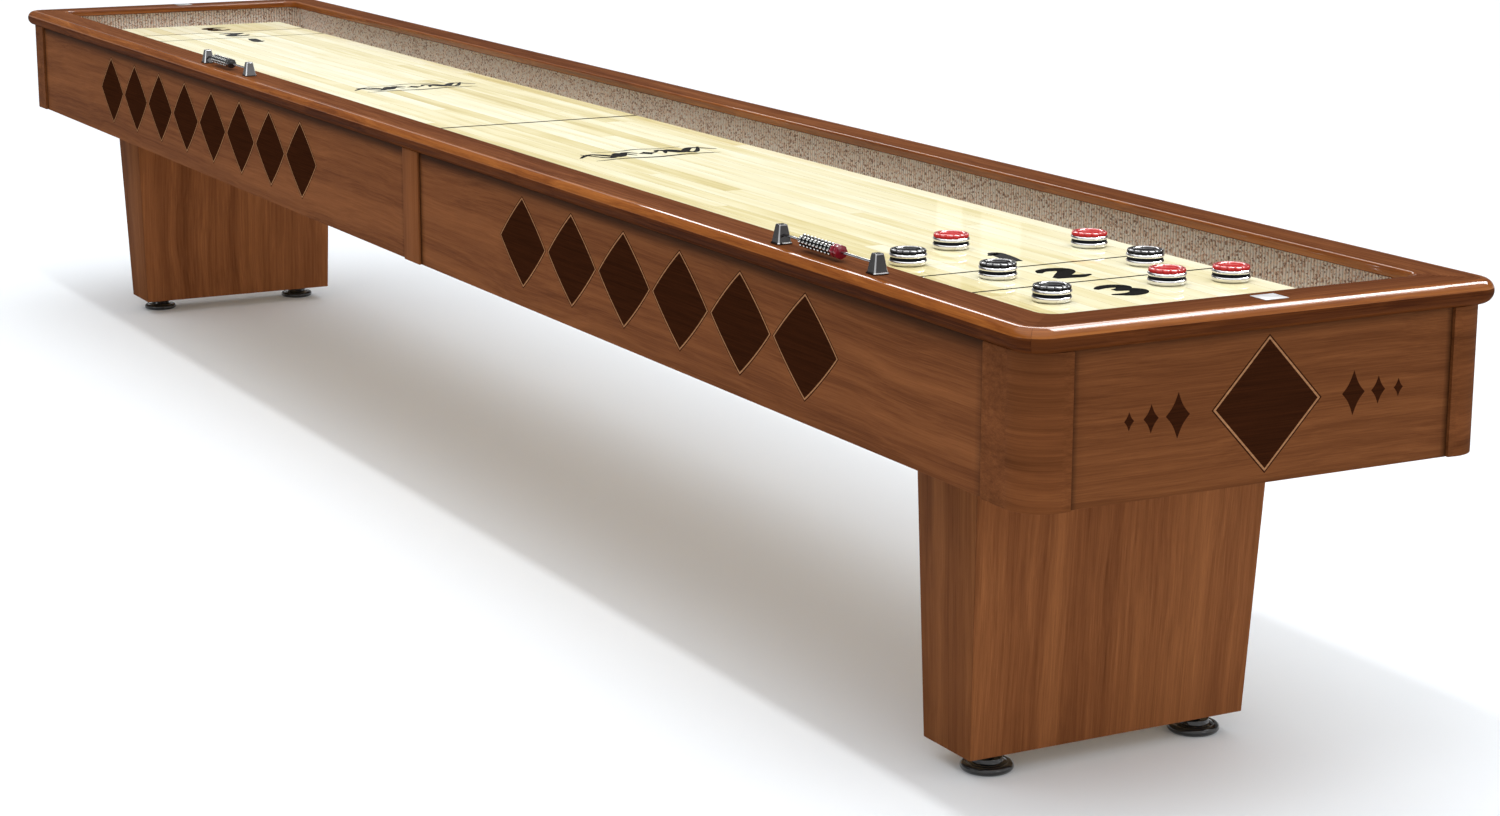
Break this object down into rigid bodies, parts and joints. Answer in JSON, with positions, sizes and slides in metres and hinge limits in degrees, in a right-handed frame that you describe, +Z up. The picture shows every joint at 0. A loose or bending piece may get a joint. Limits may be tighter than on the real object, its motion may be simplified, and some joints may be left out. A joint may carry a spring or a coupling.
{
  "type": "shuffleboard table",
  "caption": "Long shuffleboard table: maple playfield in a carpeted gutter, round-edged rails, panelled cabinet on pedestal legs, bead scorers and sliding weights.",
  "frame": {"origin": "on the floor under the middle of the table", "axes": "+X along the table towards the near end, where the weights lie; -Y is the front, with the scorers; +Z is up"},
  "size_m": [4.8768, 0.8128, 0.792],
  "materials": {
    "cabinet_veneer": "satin reddish-brown stained veneer, grain along the panels",
    "leg_veneer": "satin reddish-brown stained veneer, grain upright",
    "rail_lacquer": "glossy lacquered hardwood",
    "plain_softwood": "unfinished softwood and plywood",
    "maple_clear_coat": "maple planks under a thick glossy clear coat",
    "gutter_carpet": "ribbed beige-brown carpet",
    "zinc_steel": "zinc-plated",
    "black_foot": "glossy black",
    "dark_chrome": "dark polished",
    "bright_steel": "polished",
    "silver_bead": "polished",
    "red_bead": "glossy",
    "black_bead": "glossy",
    "weight_chrome": "polished with a dark waist",
    "red_cap": "glossy",
    "black_cap": "glossy"
  },
  "bodies": {
    "table": {"side_panel_front_near": "cabinet_veneer", "side_panel_front_far": "cabinet_veneer", "side_panel_back_near": "cabinet_veneer", "side_panel_back_far": "cabinet_veneer", "end_panel_near": "cabinet_veneer", "end_panel_far": "cabinet_veneer", "corner_block_front_near": "cabinet_veneer", "corner_block_front_far": "cabinet_veneer", "corner_block_back_near": "cabinet_veneer", "corner_block_back_far": "cabinet_veneer", "center_stile_front": "cabinet_veneer", "center_stile_back": "cabinet_veneer", "rail_front": "rail_lacquer", "rail_back": "rail_lacquer", "rail_end_near": "rail_lacquer", "rail_end_far": "rail_lacquer", "gutter_floor": "plain_softwood", "playfield": "maple_clear_coat", "cradle_runners": "plain_softwood", "cross_members": "plain_softwood", "cabinet_bolts": "zinc_steel", "adjuster_brackets": "zinc_steel", "adjuster_rods": "zinc_steel", "gutter_carpet_front": "gutter_carpet", "gutter_carpet_back": "gutter_carpet", "gutter_carpet_near": "gutter_carpet", "gutter_carpet_far": "gutter_carpet", "leg_near_outer_panel": "leg_veneer", "leg_near_inner_panel": "leg_veneer", "leg_near_side_panels": "leg_veneer", "leg_far_outer_panel": "leg_veneer", "leg_far_inner_panel": "leg_veneer", "leg_far_side_panels": "leg_veneer", "leg_frames": "plain_softwood", "scorer_posts": "dark_chrome", "scorer_rods": "bright_steel"},
    "foot_front_near": {"leveling_foot_front_near": "black_foot"},
    "foot_front_far": {"leveling_foot_front_far": "black_foot"},
    "foot_back_near": {"leveling_foot_back_near": "black_foot"},
    "foot_back_far": {"leveling_foot_back_far": "black_foot"},
    "beads_near_silver": {"silver_beads_near": "silver_bead"},
    "beads_near_red": {"red_beads_near": "red_bead"},
    "beads_far_silver": {"silver_beads_far": "silver_bead"},
    "beads_far_black": {"black_beads_far": "black_bead"},
    "weight_red_1": {"weight_red_1": "weight_chrome", "cap_red_1": "red_cap"},
    "weight_red_2": {"weight_red_2": "weight_chrome", "cap_red_2": "red_cap"},
    "weight_red_3": {"weight_red_3": "weight_chrome", "cap_red_3": "red_cap"},
    "weight_red_4": {"weight_red_4": "weight_chrome", "cap_red_4": "red_cap"},
    "weight_black_1": {"weight_black_1": "weight_chrome", "cap_black_1": "black_cap"},
    "weight_black_2": {"weight_black_2": "weight_chrome", "cap_black_2": "black_cap"},
    "weight_black_3": {"weight_black_3": "weight_chrome", "cap_black_3": "black_cap"},
    "weight_black_4": {"weight_black_4": "weight_chrome", "cap_black_4": "black_cap"}
  },
  "joints": [
    {"name": "foot_front_near_height", "type": "slide", "parent": "table", "child": "foot_front_near", "axis": [0, 0, -1], "range_m": [0, 0.025]},
    {"name": "foot_front_far_height", "type": "slide", "parent": "table", "child": "foot_front_far", "axis": [0, 0, -1], "range_m": [0, 0.025]},
    {"name": "foot_back_near_height", "type": "slide", "parent": "table", "child": "foot_back_near", "axis": [0, 0, -1], "range_m": [0, 0.025]},
    {"name": "foot_back_far_height", "type": "slide", "parent": "table", "child": "foot_back_far", "axis": [0, 0, -1], "range_m": [0, 0.025]},
    {"name": "beads_near_silver_slide", "type": "slide", "parent": "table", "child": "beads_near_silver", "axis": [1, 0, 0], "range_m": [-0.052, 0]},
    {"name": "beads_near_red_slide", "type": "slide", "parent": "table", "child": "beads_near_red", "axis": [1, 0, 0], "range_m": [0, 0.088]},
    {"name": "beads_far_silver_slide", "type": "slide", "parent": "table", "child": "beads_far_silver", "axis": [1, 0, 0], "range_m": [-0.038, 0]},
    {"name": "beads_far_black_slide", "type": "slide", "parent": "table", "child": "beads_far_black", "axis": [1, 0, 0], "range_m": [0, 0.102]},
    {"name": "weight_red_1_slide", "type": "slide", "parent": "table", "child": "weight_red_1", "axis": [1, 0, 0], "range_m": [-3.809, 0.49]},
    {"name": "weight_red_2_slide", "type": "slide", "parent": "table", "child": "weight_red_2", "axis": [1, 0, 0], "range_m": [-3.894, 0]},
    {"name": "weight_red_3_slide", "type": "slide", "parent": "table", "child": "weight_red_3", "axis": [1, 0, 0], "range_m": [-4.213, 0.09]},
    {"name": "weight_red_4_slide", "type": "slide", "parent": "table", "child": "weight_red_4", "axis": [1, 0, 0], "range_m": [-0.118, 0.065]},
    {"name": "weight_black_1_slide", "type": "slide", "parent": "table", "child": "weight_black_1", "axis": [1, 0, 0], "range_m": [-3.9, 0]},
    {"name": "weight_black_2_slide", "type": "slide", "parent": "table", "child": "weight_black_2", "axis": [1, 0, 0], "range_m": [-4.055, 0]},
    {"name": "weight_black_3_slide", "type": "slide", "parent": "table", "child": "weight_black_3", "axis": [1, 0, 0], "range_m": [-0.135, 0.06]},
    {"name": "weight_black_4_slide", "type": "slide", "parent": "table", "child": "weight_black_4", "axis": [1, 0, 0], "range_m": [-0.112, 0]}
  ]
}
